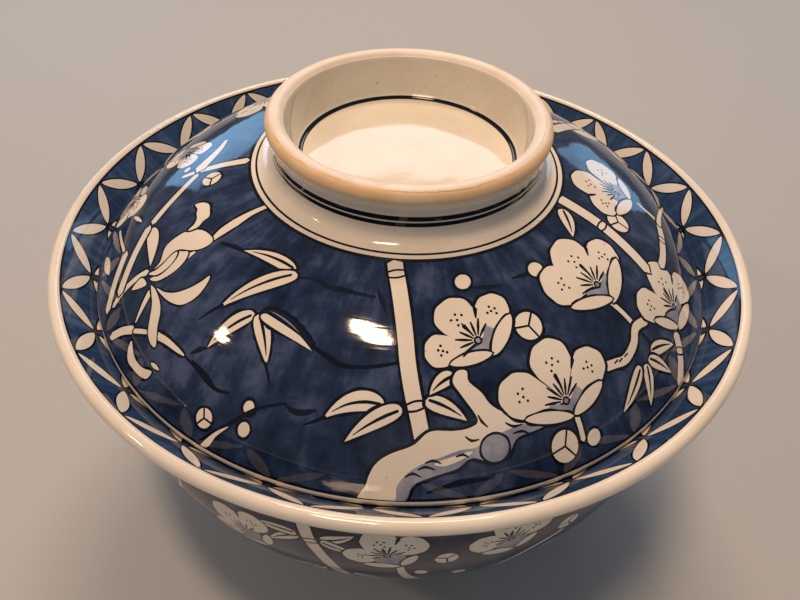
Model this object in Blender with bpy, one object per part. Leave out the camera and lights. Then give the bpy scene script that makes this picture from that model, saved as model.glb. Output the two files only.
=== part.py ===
"""A lidded porcelain rice bowl (donburi): a flared bowl and the domed lid that sits inside its rim.

Both pieces are turned shapes about the +Z axis. The origin is the centre of the foot ring, where it rests.
Metres, +Z up.
"""

import math

import bmesh
import bpy
from mathutils import Vector

MM = 0.001

# Driving dimensions of the bowl.
RIM_RADIUS = 80.0 * MM          # outermost reach of the lip
RIM_CENTRE_Z = 79.5 * MM        # height of the centre of the lip's round
LIP_ROUND = 1.45 * MM           # radius of the full-round lip
FLARE_ANGLE = math.radians(52)  # the flared rim's slope from the horizontal
FLARE_LENGTH = 11.6 * MM        # sloping length of the flare, on which the lid rests
WALL_AT_FLARE = 3.1 * MM
WALL_AT_FOOT = 5.0 * MM
SHOULDER = Vector((72.1, 59.0)) * MM     # the wall's upright stretch, (radius, height)
SHOULDER_ANGLE = math.radians(-91)       # the way the outside runs there
BELLY = Vector((64.2, 30.0)) * MM
BELLY_ANGLE = math.radians(-123)
FOOT_TOP = Vector((34.6, 10.4)) * MM     # where the belly meets the foot ring
FOOT_TOP_ANGLE = math.radians(-169)
FLOOR_DROP = 2.0 * MM           # the inside floor's dip from its edge to its middle
FLOOR_EDGE_ANGLE = math.radians(11)      # the slope at that edge
FOOT_RADIUS = 32.6 * MM         # outside of the foot ring at its base
FOOT_SIDE_HEIGHT = 7.6 * MM     # upright part of the foot ring's outside
FOOT_SIDE_ANGLE = math.radians(-92)
FOOT_WIDTH = 3.6 * MM
FOOT_CORNER = 0.8 * MM          # rounding of the foot ring's lower edges
FOOT_WELL = 7.0 * MM            # depth of the hollow inside the foot ring
WELL_DRAFT = 0.6 * MM           # how far the hollow's side leans in
WELL_ROUND = Vector((1.8, 1.6)) * MM     # reach of the round between its side and its top
WELL_ANGLE = math.radians(98)

# Driving dimensions of the lid.
SEAT_GAP = 0.3 * MM             # clearance between the lid's edge and the flare
EDGE_ROUND = 1.45 * MM          # radius of the lid's rounded edge
EDGE_RADIUS = 69.98 * MM        # radius at which the centre of that round runs
DOME_EDGE_ANGLE = math.radians(54)
DOME_TOP_ANGLE = math.radians(15)
DOME_TOP = Vector((34.57, 97.94)) * MM   # where the dome meets the collar, (radius, height)
COLLAR_TOP = Vector((29.6, 102.8)) * MM  # foot of the neck, where the collar starts
COLLAR_FOOT_ANGLE = math.radians(11.25)  # the collar's slope where it meets the dome
RING_ROUND = 2.1 * MM           # radius of the ring's full-round lip
RING_UNDER_ANGLE = math.radians(-35)     # how far that round turns under, down to the neck
RING_CENTRE = Vector((28.4, 108.2)) * MM
RING_FLOOR = Vector((23.4, 100.1)) * MM  # foot of the ring's inner wall
RING_FOOT = Vector((0.5, 0.4)) * MM      # reach of the small round at that foot
RING_INSIDE_ANGLES = (math.radians(62), math.radians(82))   # the inner wall's slope, low and high
LID_WALL = 3.1 * MM
LID_WALL_AT_AXIS = 3.6 * MM
LID_FLOOR_RISE = 0.7 * MM       # the floor inside the ring is slightly crowned
LID_FLOOR_ANGLE = math.radians(-3)

# How far each curve's handles reach, as a share of the distance between its ends.
WALL_PULL = 0.36
FOOT_PULL = 0.40
DOME_PULL = 0.38
RING_PULL = 0.34
COLLAR_PULL = 0.56

# Fineness of the turned shapes.
SEGMENTS = 60
WALL_STEPS = 9                  # along the long curve of the dome, and of the bowl's belly
CURVE_STEPS = 4                 # along a short curve
BEND_STEPS = 3                  # along a very short one
ROUND_STEPS = 6                 # round a ring or an edge
LIP_STEPS = (5, 2)              # round the lip, above and below its outermost point
CORNER_STEPS = 2
SAME_POINT = 0.02 * MM          # points of an outline closer than this are one
MERGE_DISTANCE = 0.01 * MM      # closes the turned shape at its seam and on the axis


def direction(angle):
    """Unit vector at this angle from the outward horizontal, in the (radius, height) plane."""
    return Vector((math.cos(angle), math.sin(angle)))


def arc(centre, radius, start, end, steps):
    """Points round a centre, from the start angle to the end angle."""
    return [centre + radius * direction(start + (end - start) * i / steps) for i in range(steps + 1)]


def curve_between(start, start_angle, end, end_angle, pull, steps):
    """Points along a cubic curve that leaves start and arrives at end at the given angles."""
    reach = pull * (end - start).length
    start_handle = start + reach * direction(start_angle)
    end_handle = end - reach * direction(end_angle)
    points = []
    for i in range(steps + 1):
        t = i / steps
        s = 1.0 - t
        points.append(s**3 * start + 3 * s * s * t * start_handle + 3 * s * t * t * end_handle + t**3 * end)
    return points


def offset(points, distances):
    """The points moved to the left of their line of travel, each by its own distance."""
    moved = []
    for i, point in enumerate(points):
        before = points[max(i - 1, 0)]
        after = points[min(i + 1, len(points) - 1)]
        along = (after - before).normalized()
        moved.append(point + distances[i] * Vector((-along.y, along.x)))
    return moved


def tapering(first, last, points):
    """One thickness for each point, going evenly from first to last."""
    count = len(points) - 1
    return [first + (last - first) * i / count for i in range(count + 1)]


def join(*runs):
    """One outline from several runs, without the points that two runs share."""
    outline = []
    for run in runs:
        for point in run:
            if not outline or (point - outline[-1]).length > SAME_POINT:
                outline.append(point)
    return outline


def bowl_outline():
    """From the middle of the inside floor, over the lip, down the outside and under the foot."""
    up = direction(FLARE_ANGLE)
    out = Vector((up.y, -up.x))
    lip = Vector((RIM_RADIUS - LIP_ROUND, RIM_CENTRE_Z))
    inner_flare = lip - LIP_ROUND * out - FLARE_LENGTH * up
    outer_flare = inner_flare + WALL_AT_FLARE * out

    # The outside: a nearly upright shoulder under the flare, then a full, rounded belly down to the foot.
    outer_wall = join(
        curve_between(outer_flare, math.pi + FLARE_ANGLE, SHOULDER, SHOULDER_ANGLE, WALL_PULL, CURVE_STEPS),
        curve_between(SHOULDER, SHOULDER_ANGLE, BELLY, BELLY_ANGLE, WALL_PULL, CURVE_STEPS + 1),
        curve_between(BELLY, BELLY_ANGLE, FOOT_TOP, FOOT_TOP_ANGLE, WALL_PULL, CURVE_STEPS + 2),
    )

    # The inside follows the outside, with the wall growing towards the foot.
    inner_wall = offset(outer_wall, [-wall for wall in tapering(WALL_AT_FLARE, WALL_AT_FOOT, outer_wall)])
    inner_wall.reverse()
    floor_edge = inner_wall[0]
    floor_middle = Vector((0.0, floor_edge.y - FLOOR_DROP))
    inside_floor = curve_between(floor_middle, 0.0, floor_edge, FLOOR_EDGE_ANGLE, DOME_PULL, CURVE_STEPS)

    lip_round = join(
        arc(lip, LIP_ROUND, FLARE_ANGLE + math.pi / 2, 0.0, LIP_STEPS[0]),
        arc(lip, LIP_ROUND, 0.0, FLARE_ANGLE - math.pi / 2, LIP_STEPS[1]),
    )
    foot_side = Vector((FOOT_RADIUS, FOOT_SIDE_HEIGHT))
    outer_corner = Vector((FOOT_RADIUS - FOOT_CORNER, FOOT_CORNER))
    inner_corner = Vector((FOOT_RADIUS - FOOT_WIDTH + FOOT_CORNER, FOOT_CORNER))
    well_edge = Vector((FOOT_RADIUS - FOOT_WIDTH - WELL_DRAFT, FOOT_WELL - WELL_ROUND.y))
    well_corner = Vector((well_edge.x - WELL_ROUND.x, FOOT_WELL))
    foot = join(
        curve_between(FOOT_TOP, FOOT_TOP_ANGLE, foot_side, FOOT_SIDE_ANGLE, FOOT_PULL, BEND_STEPS),
        arc(outer_corner, FOOT_CORNER, 0.0, -math.pi / 2, CORNER_STEPS),
        arc(inner_corner, FOOT_CORNER, -math.pi / 2, -math.pi, CORNER_STEPS),
        curve_between(well_edge, WELL_ANGLE, well_corner, math.pi, FOOT_PULL, BEND_STEPS),
    )
    return join(inside_floor, inner_wall, lip_round, outer_wall, foot, [Vector((0.0, FOOT_WELL))])


def lid_outline():
    """From the middle of the ring's floor, over the ring, down the dome and back underneath."""
    up = direction(FLARE_ANGLE)
    away = Vector((-up.y, up.x))
    flare_point = Vector((RIM_RADIUS - LIP_ROUND, RIM_CENTRE_Z)) + LIP_ROUND * away

    # The edge's round stands off the flare by the seat gap.
    stand_off = (EDGE_ROUND + SEAT_GAP) * away
    run = (EDGE_RADIUS - (flare_point + stand_off).x) / up.x
    edge = flare_point + stand_off + run * up

    floor_middle = Vector((0.0, RING_FLOOR.y + LID_FLOOR_RISE))
    inner_ring = RING_CENTRE - Vector((RING_ROUND, 0.0))
    neck_top = RING_CENTRE + RING_ROUND * direction(RING_UNDER_ANGLE)
    dome_edge = edge + EDGE_ROUND * direction(math.pi / 2 - DOME_EDGE_ANGLE)
    top = join(
        curve_between(floor_middle, 0.0, RING_FLOOR, LID_FLOOR_ANGLE, DOME_PULL, BEND_STEPS),
        curve_between(RING_FLOOR + RING_FOOT, RING_INSIDE_ANGLES[0], inner_ring, RING_INSIDE_ANGLES[1],
                      RING_PULL, CURVE_STEPS),
        arc(RING_CENTRE, RING_ROUND, math.pi, 0.0, ROUND_STEPS),
        arc(RING_CENTRE, RING_ROUND, 0.0, RING_UNDER_ANGLE, CORNER_STEPS),
        curve_between(neck_top, RING_UNDER_ANGLE - math.pi / 2, COLLAR_TOP, -math.pi / 2,
                      RING_PULL, CURVE_STEPS),
        curve_between(COLLAR_TOP, -math.pi / 2, DOME_TOP, -COLLAR_FOOT_ANGLE, COLLAR_PULL, CURVE_STEPS + 1),
    )
    dome = curve_between(DOME_TOP, -DOME_TOP_ANGLE, dome_edge, -DOME_EDGE_ANGLE, DOME_PULL, WALL_STEPS)
    edge_round = arc(
        edge, EDGE_ROUND, math.pi / 2 - DOME_EDGE_ANGLE, -math.pi / 2 - DOME_EDGE_ANGLE, ROUND_STEPS
    )

    # The underside follows the dome, then closes over the middle.
    underside = offset(dome, [-wall for wall in tapering(LID_WALL, 2 * EDGE_ROUND, dome)])
    underside.reverse()
    middle = Vector((0.0, RING_FLOOR.y + LID_FLOOR_RISE - LID_WALL_AT_AXIS))
    ceiling = curve_between(underside[-1], math.pi - DOME_TOP_ANGLE, middle, math.pi, DOME_PULL, CURVE_STEPS)
    return join(top, dome, edge_round, underside, ceiling)


def glaze_material(name, colour, roughness):
    """A glazed porcelain material."""
    material = bpy.data.materials.new(name)
    material.use_nodes = True
    shader = material.node_tree.nodes["Principled BSDF"]
    shader.inputs["Base Color"].default_value = (*colour, 1.0)
    shader.inputs["Roughness"].default_value = roughness
    shader.inputs["Metallic"].default_value = 0.0
    return material


def turned(name, outline, material):
    """One closed piece, turned from an outline that starts and ends on the Z axis."""
    mesh = bpy.data.meshes.new(name)
    shape = bmesh.new()
    vertices = [shape.verts.new((point.x, 0.0, point.y)) for point in outline]
    for first, second in zip(vertices, vertices[1:]):
        shape.edges.new((first, second))
    shape.to_mesh(mesh)
    shape.free()
    piece = bpy.data.objects.new(name, mesh)
    bpy.context.scene.collection.objects.link(piece)
    mesh.materials.append(material)

    screw = piece.modifiers.new("turn", "SCREW")
    screw.axis = "Z"
    screw.angle = 2 * math.pi
    screw.steps = SEGMENTS
    screw.render_steps = SEGMENTS
    screw.use_merge_vertices = True
    screw.merge_threshold = MERGE_DISTANCE
    screw.use_smooth_shade = True
    return piece


def clear_scene():
    """Remove every object of the open scene."""
    for thing in list(bpy.data.objects):
        bpy.data.objects.remove(thing, do_unlink=True)


def main():
    """Build the bowl and its lid."""
    clear_scene()
    bowl_glaze = glaze_material("bowl_glaze", (0.80, 0.77, 0.72), 0.12)
    lid_glaze = glaze_material("lid_glaze", (0.05, 0.09, 0.20), 0.10)
    turned("bowl", bowl_outline(), bowl_glaze)
    turned("lid", lid_outline(), lid_glaze)


main()
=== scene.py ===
"""The looks of a lidded porcelain rice bowl, painted in blue under a clear glaze.

The bowl and the lid are each one closed turned shape. Their decoration is cut into the surface as regions
with their own finishes: bamboo, plum and orchid on a cobalt ground, and a chain of petals inside the bowl's
rim. Outlines and paintings are worked in millimetres; the finished pieces are in metres.
"""

import math

import bpy
import numpy as np
from mathutils import Euler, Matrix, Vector, geometry


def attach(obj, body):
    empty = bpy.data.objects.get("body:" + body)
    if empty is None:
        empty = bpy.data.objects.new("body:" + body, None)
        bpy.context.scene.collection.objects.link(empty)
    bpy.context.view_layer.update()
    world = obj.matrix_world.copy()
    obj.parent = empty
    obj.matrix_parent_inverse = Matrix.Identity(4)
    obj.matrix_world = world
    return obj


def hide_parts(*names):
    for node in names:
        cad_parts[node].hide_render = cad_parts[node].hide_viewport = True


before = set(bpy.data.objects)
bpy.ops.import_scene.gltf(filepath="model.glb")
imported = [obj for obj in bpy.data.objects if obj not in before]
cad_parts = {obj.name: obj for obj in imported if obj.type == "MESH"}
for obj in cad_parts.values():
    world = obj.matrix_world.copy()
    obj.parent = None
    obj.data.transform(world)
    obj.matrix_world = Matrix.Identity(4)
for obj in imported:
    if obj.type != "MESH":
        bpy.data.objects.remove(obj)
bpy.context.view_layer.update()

METRES = 0.001
SEGMENTS = 240                  # round every turned piece
FULL_TURN = np.exp(2j * math.pi * np.arange(SEGMENTS) / SEGMENTS)
FINISHES = ("white", "ground", "ink", "shade", "wash", "blue", "clay", "cream")

# The turned shapes, as in the CAD model, in millimetres; a complex number is radius + height * 1j.
RIM_RADIUS = 80.0               # outermost reach of the lip
RIM_CENTRE_Z = 79.5             # height of the centre of the lip's round
LIP_ROUND = 1.45
FLARE_ANGLE = math.radians(52)
FLARE_LENGTH = 11.6
WALL_AT_FLARE = 3.1
WALL_AT_FOOT = 5.0
SHOULDER = complex(72.1, 59.0)
SHOULDER_ANGLE = math.radians(-91)
BELLY = complex(64.2, 30.0)
BELLY_ANGLE = math.radians(-123)
FOOT_TOP = complex(34.6, 10.4)
FOOT_TOP_ANGLE = math.radians(-169)
FLOOR_DROP = 2.0
FLOOR_EDGE_ANGLE = math.radians(11)
FOOT_RADIUS = 32.6
FOOT_SIDE_HEIGHT = 7.6
FOOT_SIDE_ANGLE = math.radians(-92)
FOOT_WIDTH = 3.6
FOOT_CORNER = 0.8
FOOT_WELL = 7.0
WELL_DRAFT = 0.6
WELL_ROUND = complex(1.8, 1.6)
WELL_ANGLE = math.radians(98)
SEAT_GAP = 0.3
EDGE_ROUND = 1.45
EDGE_RADIUS = 69.98
DOME_EDGE_ANGLE = math.radians(54)
DOME_TOP_ANGLE = math.radians(15)
DOME_TOP = complex(34.57, 97.94)
COLLAR_TOP = complex(29.6, 102.8)
COLLAR_FOOT_ANGLE = math.radians(11.25)
RING_ROUND = 2.1
RING_UNDER_ANGLE = math.radians(-35)
RING_CENTRE = complex(28.4, 108.2)
RING_FLOOR = complex(23.4, 100.1)
RING_FOOT = complex(0.5, 0.4)
RING_INSIDE_ANGLES = (math.radians(62), math.radians(82))
LID_WALL = 3.1
LID_WALL_AT_AXIS = 3.6
LID_FLOOR_RISE = 0.7
LID_FLOOR_ANGLE = math.radians(-3)
WALL_PULL = 0.36                # how far each curve's handles reach, as a share of the way between its ends
FOOT_PULL = 0.40
DOME_PULL = 0.38
RING_PULL = 0.34
COLLAR_PULL = 0.56
SAME_POINT = 0.02               # points of an outline closer than this are one

# The decoration, in millimetres.
LINE = 0.58                     # width of the painter's outline
CLAY_INNER = 26.4               # radii across the bare top of the lid's ring
CLAY_OUTER = 30.5
GRID = 1.7                      # spacing of the surface's points where nothing is painted

# Cutting the paintings into the surface.
SHEET_MARGIN = 0.06             # how near a painted shape comes to the edge of its sheet
NEAREST_POINTS = 0.03           # a point of a shape closer than this to the one before it is left out
MERGE_DISTANCE = 0.002
LEAST_AREA = 1e-7               # a triangle smaller than this is left out
PAIRS_AT_ONCE = 4_000_000       # how many points and edges are compared in one go

# The texture map, a square of side 1. A piece's painted side is a large disc in its middle, MAP_EDGE in
# radius, and its plain side is a small disc in a corner.
MAP_EDGE = 0.4965
SMALL_DISC_CENTRE = 0.072 + 0.072j
SMALL_DISC_RADIUS = 0.062

GLOSS_ROUGHNESS = 0.06
BLACK = (0.0, 0.0, 0.0)
WHITE = (1.0, 1.0, 1.0)


# Outlines. A point is a complex number: radius + height * 1j for an outline, x + y * 1j on a painting.

def unit(angle):
    """Unit vector at this angle in radians."""
    return complex(math.cos(angle), math.sin(angle))


def toward(degrees):
    """Unit vector at this angle in degrees."""
    return unit(math.radians(degrees))


def arc(centre, radius, start, end, steps=12):
    """Points round a centre, from the start angle to the end angle, in radians."""
    return centre + radius * np.exp(1j * np.linspace(start, end, steps + 1))


def curve_between(start, start_angle, end, end_angle, pull, steps):
    """Points along a cubic curve that leaves start and arrives at end at the given angles."""
    reach = pull * abs(end - start)
    first = start + reach * unit(start_angle)
    second = end - reach * unit(end_angle)
    t = np.linspace(0.0, 1.0, steps + 1)
    s = 1.0 - t
    return s**3 * start + 3 * s * s * t * first + 3 * s * t * t * second + t**3 * end


def offset(points, distances):
    """The points moved to the left of their line of travel, each by its own distance."""
    along = np.gradient(points)
    return points + distances * 1j * along / abs(along)


def travelled(points):
    """Distance along the points, from the first one."""
    return np.concatenate([[0.0], np.cumsum(abs(np.diff(points)))])


class Outline:
    """A turned piece's outline, and where each named run of it starts, as distance along it."""

    def __init__(self, runs):
        points = [runs[0][1][0]]
        starts = {}
        for name, run in runs:
            starts[name] = len(points) - 1
            points.extend(point for point in run if abs(point - points[-1]) > SAME_POINT)
        self.points = np.array(points)
        self.distance = travelled(self.points)
        self.start = {name: self.distance[index] for name, index in starts.items()}
        self.length = self.distance[-1]

    def cut(self, places):
        """Add points at these distances."""
        fresh = [place for place in places if min(abs(self.distance - place)) > SAME_POINT]
        both = np.sort(np.concatenate([self.distance, fresh]))
        self.points = np.interp(both, self.distance, self.points)
        self.distance = both

    def normals(self):
        """Unit vectors pointing out of the material at each point."""
        steps = np.diff(self.points)
        steps = steps / abs(steps)
        along = np.concatenate([[steps[0]], steps[:-1] + steps[1:], [steps[-1]]])
        out = 1j * along / abs(along)
        out[0] = 1j * np.sign(out[0].imag)
        out[-1] = 1j * np.sign(out[-1].imag)
        return out


def bowl_outline():
    """From the middle of the inside floor, over the lip, down the outside and under the foot."""
    up = unit(FLARE_ANGLE)
    out = complex(up.imag, -up.real)
    lip = complex(RIM_RADIUS - LIP_ROUND, RIM_CENTRE_Z)
    inner_flare = lip - LIP_ROUND * out - FLARE_LENGTH * up
    outer_flare = inner_flare + WALL_AT_FLARE * out
    wall = [
        curve_between(outer_flare, math.pi + FLARE_ANGLE, SHOULDER, SHOULDER_ANGLE, WALL_PULL, 16),
        curve_between(SHOULDER, SHOULDER_ANGLE, BELLY, BELLY_ANGLE, WALL_PULL, 24),
        curve_between(BELLY, BELLY_ANGLE, FOOT_TOP, FOOT_TOP_ANGLE, WALL_PULL, 30),
    ]
    outer_wall = np.concatenate([wall[0], wall[1][1:], wall[2][1:]])
    inner_wall = offset(outer_wall, -np.linspace(WALL_AT_FLARE, WALL_AT_FOOT, len(outer_wall)))[::-1]
    inner_wall[-1] = inner_flare
    floor_edge = inner_wall[0]
    floor_middle = complex(0.0, floor_edge.imag - FLOOR_DROP)
    foot_inside = FOOT_RADIUS - FOOT_WIDTH
    foot_side = complex(FOOT_RADIUS, FOOT_SIDE_HEIGHT)
    outer_corner = complex(FOOT_RADIUS - FOOT_CORNER, FOOT_CORNER)
    inner_corner = complex(foot_inside + FOOT_CORNER, FOOT_CORNER)
    well_edge = complex(foot_inside - WELL_DRAFT, FOOT_WELL - WELL_ROUND.imag)
    well_corner = complex(well_edge.real - WELL_ROUND.real, FOOT_WELL)
    foot = curve_between(FOOT_TOP, FOOT_TOP_ANGLE, foot_side, FOOT_SIDE_ANGLE, FOOT_PULL, 6)
    return Outline([
        ("floor", curve_between(floor_middle, 0.0, floor_edge, FLOOR_EDGE_ANGLE, DOME_PULL, 12)),
        ("inside", inner_wall),
        ("flare", np.array([inner_flare, lip - LIP_ROUND * out])),
        ("lip", arc(lip, LIP_ROUND, FLARE_ANGLE + math.pi / 2, FLARE_ANGLE - math.pi / 2, 14)),
        ("outside", outer_wall),
        ("foot", np.append(foot, complex(FOOT_RADIUS, FOOT_CORNER))),
        ("foot_corner", arc(outer_corner, FOOT_CORNER, 0.0, -math.pi / 2, 5)),
        ("foot_inside", arc(inner_corner, FOOT_CORNER, -math.pi / 2, -math.pi, 5)),
        ("well", curve_between(well_edge, WELL_ANGLE, well_corner, math.pi, FOOT_PULL, 6)),
        ("bottom", np.linspace(well_corner, complex(0.0, FOOT_WELL), 6)),
    ])


def lid_outline():
    """From the middle of the ring's floor, over the ring, down the dome, round the edge and back."""
    up = unit(FLARE_ANGLE)
    away = 1j * up
    flare_point = complex(RIM_RADIUS - LIP_ROUND, RIM_CENTRE_Z) + LIP_ROUND * away
    stand_off = (EDGE_ROUND + SEAT_GAP) * away
    run = (EDGE_RADIUS - (flare_point + stand_off).real) / up.real
    edge = flare_point + stand_off + run * up
    edge_start = math.pi / 2 - DOME_EDGE_ANGLE
    dome_edge = edge + EDGE_ROUND * unit(edge_start)
    dome = curve_between(DOME_TOP, -DOME_TOP_ANGLE, dome_edge, -DOME_EDGE_ANGLE, DOME_PULL, 60)
    underside = offset(dome, -np.linspace(LID_WALL, 2 * EDGE_ROUND, len(dome)))[::-1][::3]
    ring_foot = RING_FLOOR + RING_FOOT
    ring_inner = RING_CENTRE - RING_ROUND
    low_slope, high_slope = RING_INSIDE_ANGLES
    neck_top = RING_CENTRE + RING_ROUND * unit(RING_UNDER_ANGLE)
    neck_slope = RING_UNDER_ANGLE - math.pi / 2
    middle = complex(0.0, RING_FLOOR.imag + LID_FLOOR_RISE)
    under_middle = middle - 1j * LID_WALL_AT_AXIS
    under_slope = math.pi - DOME_TOP_ANGLE
    return Outline([
        ("floor", curve_between(middle, 0.0, RING_FLOOR, LID_FLOOR_ANGLE, DOME_PULL, 10)),
        ("ring_inside", curve_between(ring_foot, low_slope, ring_inner, high_slope, RING_PULL, 8)),
        ("ring_lip", arc(RING_CENTRE, RING_ROUND, math.pi, RING_UNDER_ANGLE, 22)),
        ("neck", curve_between(neck_top, neck_slope, COLLAR_TOP, -math.pi / 2, RING_PULL, 8)),
        ("collar", curve_between(COLLAR_TOP, -math.pi / 2, DOME_TOP, -COLLAR_FOOT_ANGLE, COLLAR_PULL, 12)),
        ("dome", dome),
        ("edge", arc(edge, EDGE_ROUND, edge_start, edge_start - math.pi, 12)),
        ("underside", underside),
        ("ceiling", curve_between(underside[-1], under_slope, under_middle, math.pi, DOME_PULL, 8)),
    ])


# Painted shapes.

def pairs(*numbers):
    """Points from a plain run of x, y, x, y."""
    flat = np.array(numbers, float)
    return flat[0::2] + 1j * flat[1::2]


def smooth(points, closed=False, spacing=0.5):
    """A smooth line through the points (Catmull-Rom), with a point about every spacing."""
    points = np.asarray(points)
    count = len(points)
    line = []
    for i in range(count if closed else count - 1):
        if closed:
            a, b, c, d = (points[(i + k) % count] for k in (-1, 0, 1, 2))
        else:
            a, b, c, d = (points[min(max(i + k, 0), count - 1)] for k in (-1, 0, 1, 2))
        steps = max(1, round(abs(c - b) / spacing))
        t = np.arange(steps) / steps
        line.append(0.5 * (2 * b + (c - a) * t + (2 * a - 5 * b + 4 * c - d) * t**2
                           + (3 * b - a - 3 * c + d) * t**3))
    if not closed:
        line.append(points[-1:])
    return np.concatenate(line)


def counter_clockwise(shape):
    """The closed shape, travelled counter-clockwise."""
    area = np.sum((np.conj(shape) * np.roll(shape, -1)).imag)
    return shape if area > 0 else shape[::-1]


def unsteady(points):
    """A hand's slow unevenness, from -1 to 1, by place on the sheet."""
    x, y = points.real, points.imag
    return 0.5 * (np.sin(1.1 * x + 0.6 * y) + np.sin(2.3 * y - 1.7 * x + 2.0))


def grown(shape, by):
    """The closed shape with its edge moved outward, further in some places than in others."""
    shape = counter_clockwise(shape)
    ahead = np.roll(shape, -1) - shape
    ahead = ahead / np.maximum(abs(ahead), 1e-9)
    along = ahead + np.roll(ahead, 1)
    return shape - by * (1.0 + 0.32 * unsteady(shape)) * 1j * along / np.maximum(abs(along), 0.6)


def oval(centre, across, along=None, turn=0.0):
    """An oval of these half widths, its long axis turned by degrees."""
    along = across if along is None else along
    count = max(12, round(2 * math.pi * max(across, along) / 0.6))
    angle = np.arange(count) * 2 * math.pi / count
    return centre + toward(turn) * (along * np.cos(angle) + 1j * across * np.sin(angle))


def lens(base, tip, width, bend=0.0, fullness=0.9, lean=0.9):
    """A pointed leaf shape from base to tip; bend bows it to the left."""
    axis = tip - base
    side = 1j * axis / abs(axis)
    count = max(8, round(abs(axis) / 0.6))
    t = np.linspace(0.0, 1.0, count + 1)
    spine = base + axis * t + side * bend * 4 * t * (1 - t)
    half = 0.5 * width * np.sin(math.pi * t**lean) ** fullness
    half[0] = 0.0
    half[-1] = 0.0
    return np.concatenate([spine + half * side, (spine - half * side)[-2:0:-1]])


def blade(base, tip, width, bend=0.0):
    """A leaf shape with a blunt base and a long sharp point; bend bows it to the left."""
    blunt, sharp = 0.42, 0.95
    axis = tip - base
    side = 1j * axis / abs(axis)
    count = max(10, round(abs(axis) / 0.5))
    t = np.linspace(0.0, 1.0, count + 1) ** 1.3
    widest = blunt / (blunt + sharp)
    half = 0.5 * width * (t / widest) ** blunt * ((1.0 - t) / (1.0 - widest)) ** sharp
    spine = base + axis * t + side * bend * 4 * t * (1 - t)
    return np.concatenate([spine + half * side, (spine - half * side)[-2:0:-1]])


def ribbon(points, widths, spacing=0.6):
    """A stroke along a smooth line, with its width growing or shrinking from point to point."""
    points = np.asarray(points)
    widths = np.broadcast_to(np.asarray(widths, float), points.shape) if np.ndim(widths) == 0 else widths
    line = smooth(points, spacing=spacing)
    at = travelled(line)
    places = [at[np.argmin(abs(line - point))] for point in points]
    half = 0.5 * np.interp(at, places, widths)
    along = np.gradient(line)
    side = 1j * along / abs(along)
    ahead = side[-1] / 1j
    behind = side[0] / 1j
    left = line + half * side
    right = line - half * side
    return np.concatenate([left, [line[-1] + half[-1] * ahead], right[::-1], [line[0] - half[0] * behind]])


class Painting:
    """Flat shapes painted one over another. Later shapes cover earlier ones."""

    def __init__(self, finish):
        self.base = finish
        self.shapes = []
        self.place = lambda points: points

    def fill(self, shape, finish="white"):
        """Paint one closed shape."""
        self.shapes.append((finish, self.place(shape)))

    def outlined(self, shapes, finish="white", line=LINE):
        """Paint shapes that merge with each other, with one dark line round them all."""
        for shape in shapes:
            self.fill(grown(shape, line), "ink")
        for shape in shapes:
            self.fill(shape, finish)

    def stem(self, widths, *numbers):
        """Paint an outlined ribbon through the points x, y, x, y."""
        self.outlined([ribbon(pairs(*numbers), widths)])

    def petal(self, *numbers, line=LINE):
        """Paint an outlined shape whose edge runs through the points x, y, x, y."""
        self.outlined([smooth(pairs(*numbers), closed=True)], line=line)

    def stroke(self, points, widths=0.4, finish="ink"):
        """Paint one brush stroke."""
        self.fill(ribbon(points, widths), finish)

    def disc(self, radius, finish):
        """Paint the whole sheet inside this radius."""
        self.shapes.append((finish, radius * FULL_TURN))


def leaf(sheet, base, tip, width, bend=0.0, rib=0.55, lean=0.08, dark_side=0.0):
    """A bamboo leaf with its middle rib drawn in. A dark side, 1 left or -1 right, is left unpainted."""
    axis = tip - base
    side = 1j * axis / abs(axis)
    body = blade(base, tip, width, bend)
    if dark_side:
        away = dark_side * side
        sheet.outlined([body], "shade")
        sheet.fill(blade(base, tip, 0.6 * width, bend) - 0.2 * width * away)
        sheet.fill(lens(base + 0.08 * axis + 0.27 * width * away, base + 0.7 * axis + 0.17 * width * away,
                        0.3, bend), "wash")
    else:
        sheet.outlined([body])
    if rib:
        t = np.array([0.07, 0.3, 0.58, 0.84])
        spine = base + axis * t + side * (bend * 4 * t * (1 - t) + lean * width * (1 - t))
        sheet.stroke(spine, [rib, 1.15 * rib, 0.8 * rib, 0.3 * rib])


def stalk(sheet, points, widths, nodes=(), finish="white"):
    """A bamboo stalk, with a pair of dark rings at each of its nodes."""
    sheet.outlined([ribbon(points, widths)], finish)
    line = smooth(points, spacing=0.5)
    width = max(np.atleast_1d(widths))
    for node in nodes:
        index = int(np.argmin(abs(line - node)))
        ahead = line[min(index + 1, len(line) - 1)] - line[max(index - 1, 0)]
        ahead = ahead / abs(ahead)
        for shift in (-0.55, 0.55):
            middle = line[index] + shift * ahead
            half = (0.5 * width + 0.35) * 1j * ahead
            bow = 0.3 * math.copysign(1.0, shift) * ahead
            sheet.stroke([middle - half, middle + bow, middle + half], 0.42)


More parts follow.
